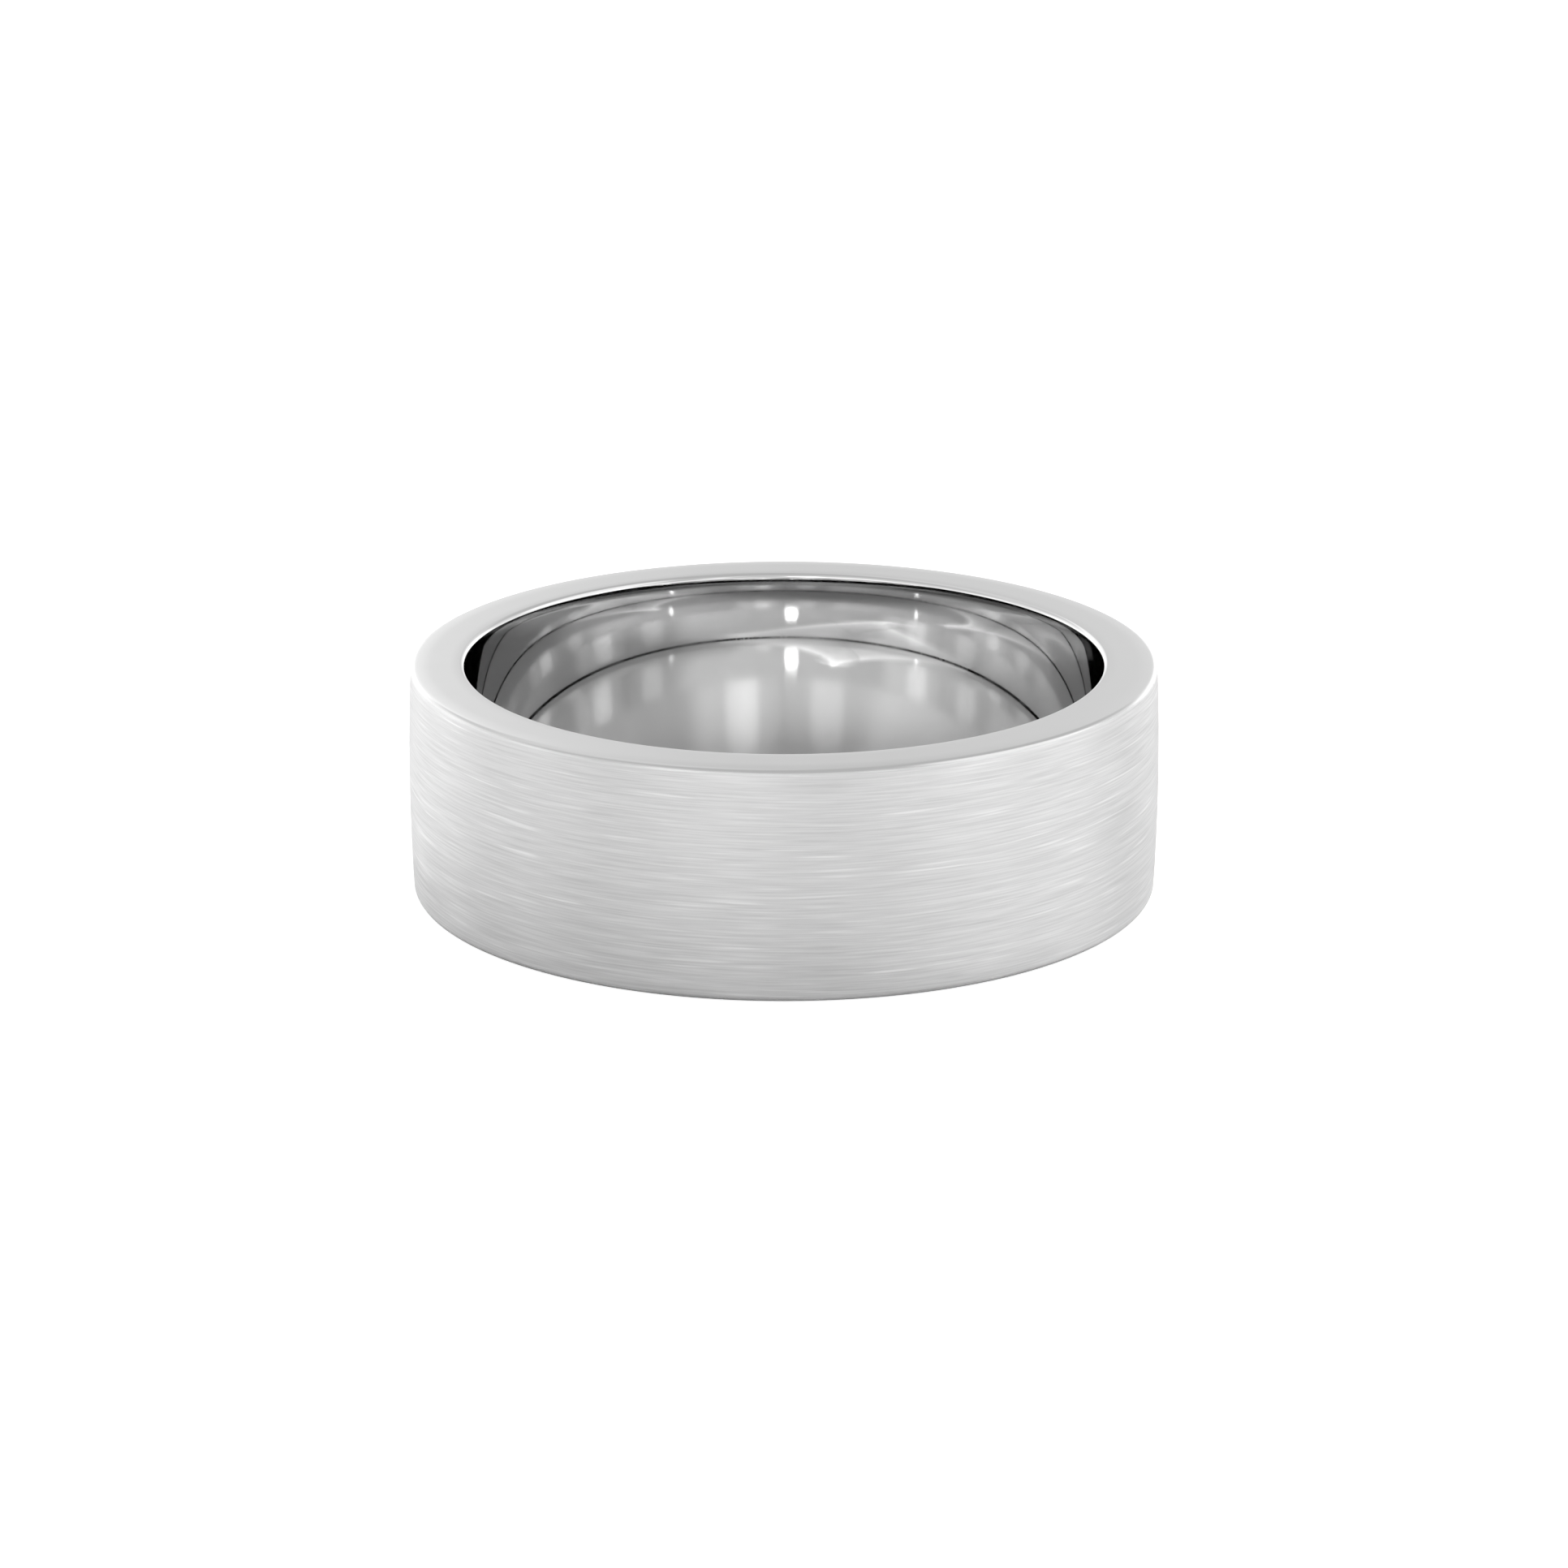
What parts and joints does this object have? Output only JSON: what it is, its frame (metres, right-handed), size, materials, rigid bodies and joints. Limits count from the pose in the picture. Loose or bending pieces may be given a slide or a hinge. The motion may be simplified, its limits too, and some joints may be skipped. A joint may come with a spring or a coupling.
{
  "type": "wedding band",
  "caption": "Plain wide wedding band in white precious metal, with a brushed, slightly crowned outer wall, flat side faces and a polished comfort-fit bore.",
  "frame": {"origin": "centre of the lower side face, on the ring's axis, at the height of the surface the ring lies on", "axes": "+Z along the ring's axis, up through the finger hole; +X and +Y are any two radii at right angles, as the band is round"},
  "size_m": [0.0226, 0.0226, 0.007],
  "materials": {
    "band_metal": "white precious metal: outer wall finely brushed round the ring, side faces and rounded edges smooth, bore mirror polished"
  },
  "bodies": {
    "root": {"band": "band_metal"}
  },
  "joints": []
}
